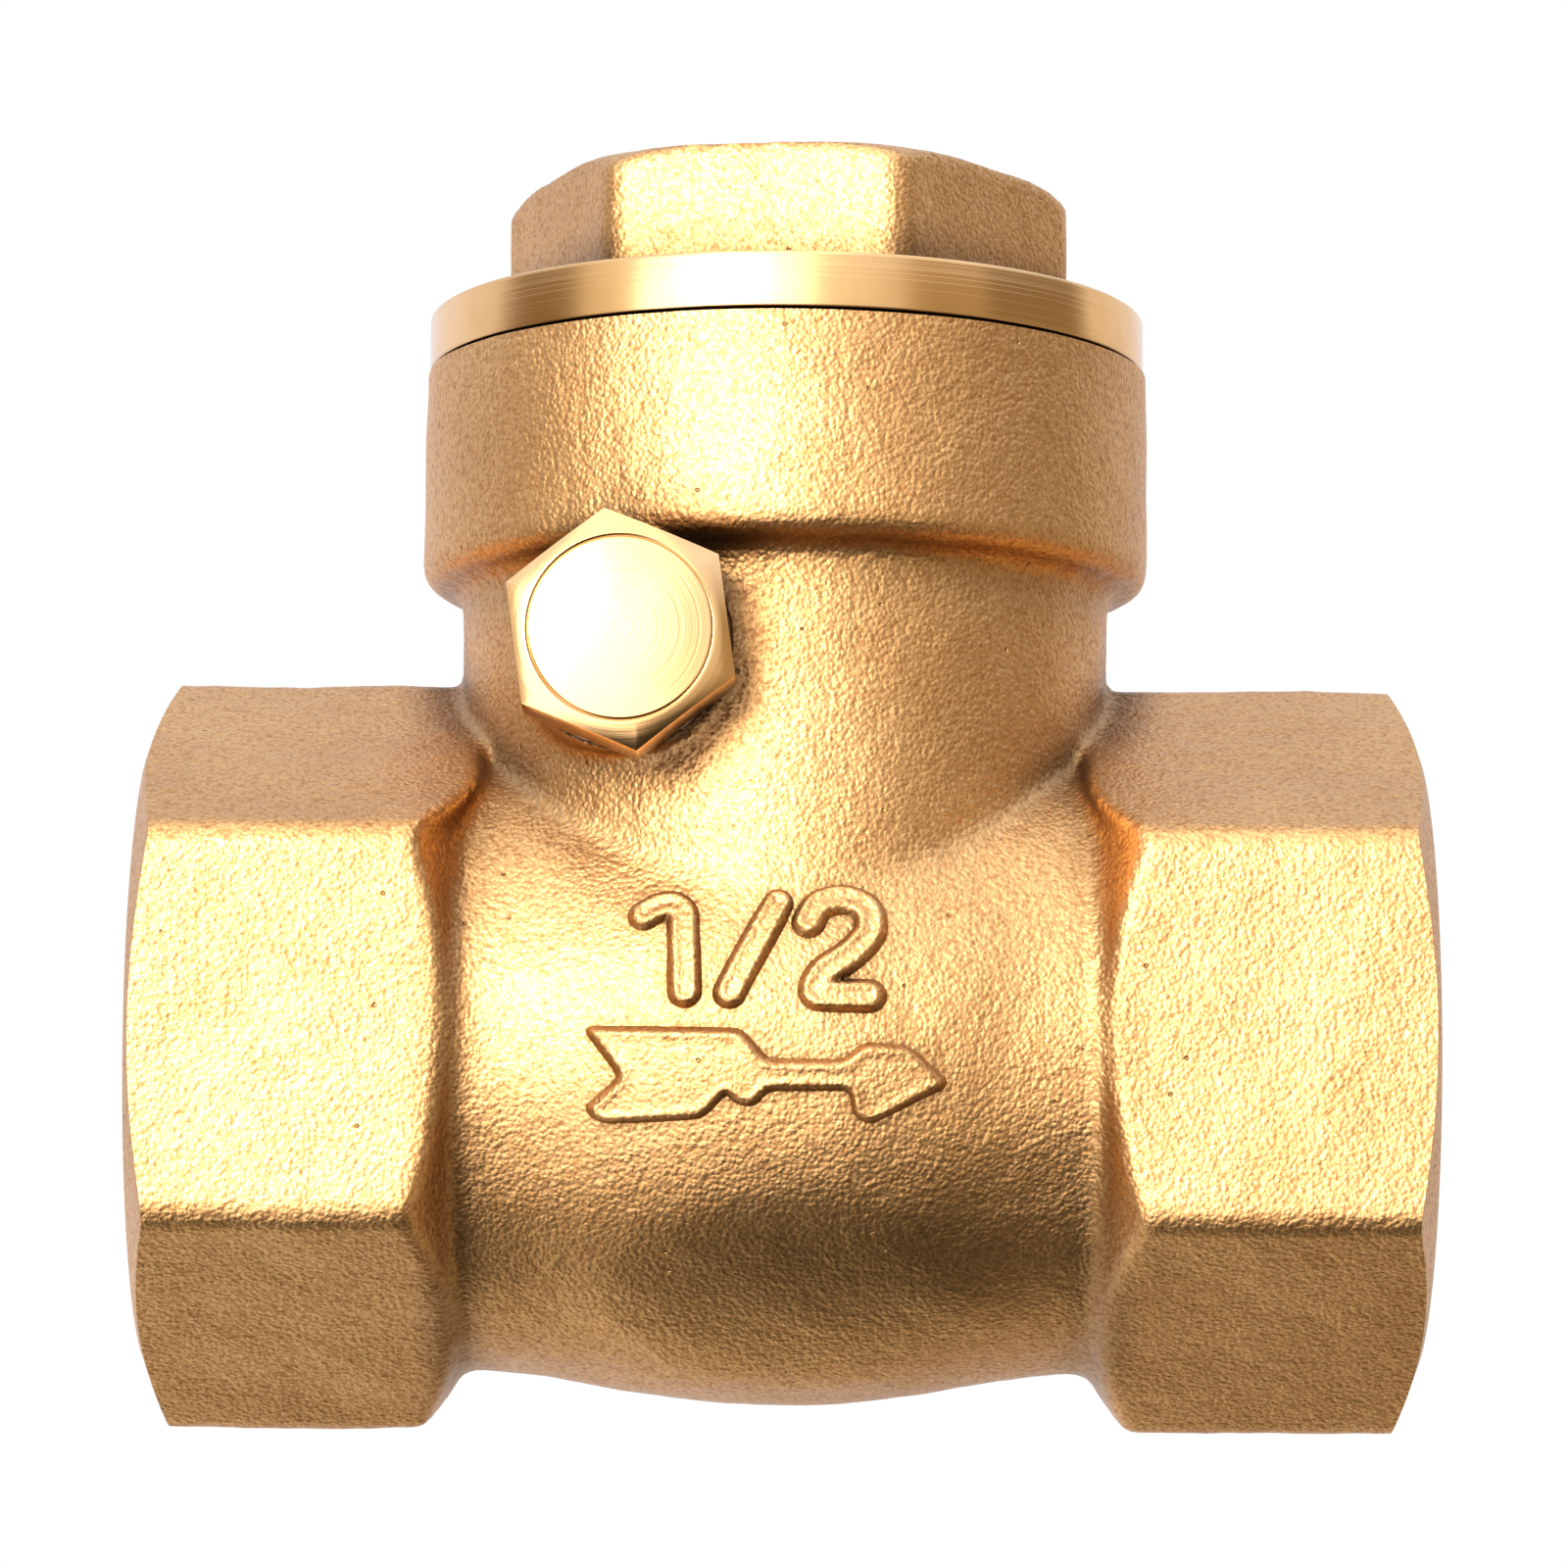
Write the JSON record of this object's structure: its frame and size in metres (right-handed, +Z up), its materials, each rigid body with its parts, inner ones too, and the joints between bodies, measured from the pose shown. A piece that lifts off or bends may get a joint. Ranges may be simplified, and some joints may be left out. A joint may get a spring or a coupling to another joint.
{
  "type": "swing check valve",
  "caption": "Cast brass swing check valve with female threaded hexagonal ends, a screwed bonnet cap, a side plug over the hinge pin and a hinged sealing disc inside.",
  "frame": {"origin": "where the flow axis crosses the bonnet axis", "axes": "+X along the flow from inlet to outlet, +Z up towards the bonnet cap, -Y towards the hinge pin's plug"},
  "size_m": [0.05, 0.031, 0.05],
  "materials": {
    "cast_brass": "sand cast and shot blasted",
    "turned_brass": "fine turned",
    "forged_brass": "satin",
    "stainless_steel": "drawn",
    "seal_rubber": "matt moulded",
    "gasket_fibre": "pressed fibre"
  },
  "bodies": {
    "valve_body": {"body": "cast_brass", "hinge_pin": "stainless_steel"},
    "cap_gasket": {"cap_gasket": "gasket_fibre"},
    "bonnet": {"bonnet_cap": "cast_brass"},
    "plug_gasket": {"plug_gasket": "gasket_fibre"},
    "plug": {"pin_plug": "turned_brass"},
    "clapper_arm": {"hinge_arm": "forged_brass"},
    "clapper_disc": {"disc": "turned_brass", "disc_seal": "seal_rubber", "seal_retainer": "turned_brass", "seal_screw": "stainless_steel", "disc_washer": "stainless_steel", "disc_nut": "turned_brass"}
  },
  "joints": [
    {"name": "clapper_swing", "type": "hinge", "parent": "valve_body", "child": "clapper_arm", "pos_m": [-0.0062, 0, 0.01465], "axis": [0, -1, 0], "range_deg": [0, 52]},
    {"name": "disc_spin", "type": "hinge", "parent": "clapper_arm", "child": "clapper_disc", "pos_m": [-0.005, 0, 0], "axis": [1, 0, 0], "continuous": true},
    {"name": "cap_lift", "type": "slide", "parent": "valve_body", "child": "cap_gasket", "axis": [0, 0, 1], "range_m": [0, 0.0075]},
    {"name": "cap_turn", "type": "hinge", "parent": "cap_gasket", "child": "bonnet", "pos_m": [0, 0, 0.0275], "axis": [0, 0, 1], "range_deg": [0, 1800]},
    {"name": "plug_travel", "type": "slide", "parent": "valve_body", "child": "plug_gasket", "axis": [0, -1, 0], "range_m": [0, 0.006]},
    {"name": "plug_turn", "type": "hinge", "parent": "plug_gasket", "child": "plug", "pos_m": [-0.0062, -0.0133, 0.01465], "axis": [0, -1, 0], "range_deg": [0, 2160]}
  ],
  "couplings": [
    {"joint": "cap_lift", "follows": "cap_turn", "m_per_rad": 0.00023873},
    {"joint": "plug_turn", "follows": "plug_travel", "rad_per_m": 6283.2}
  ]
}
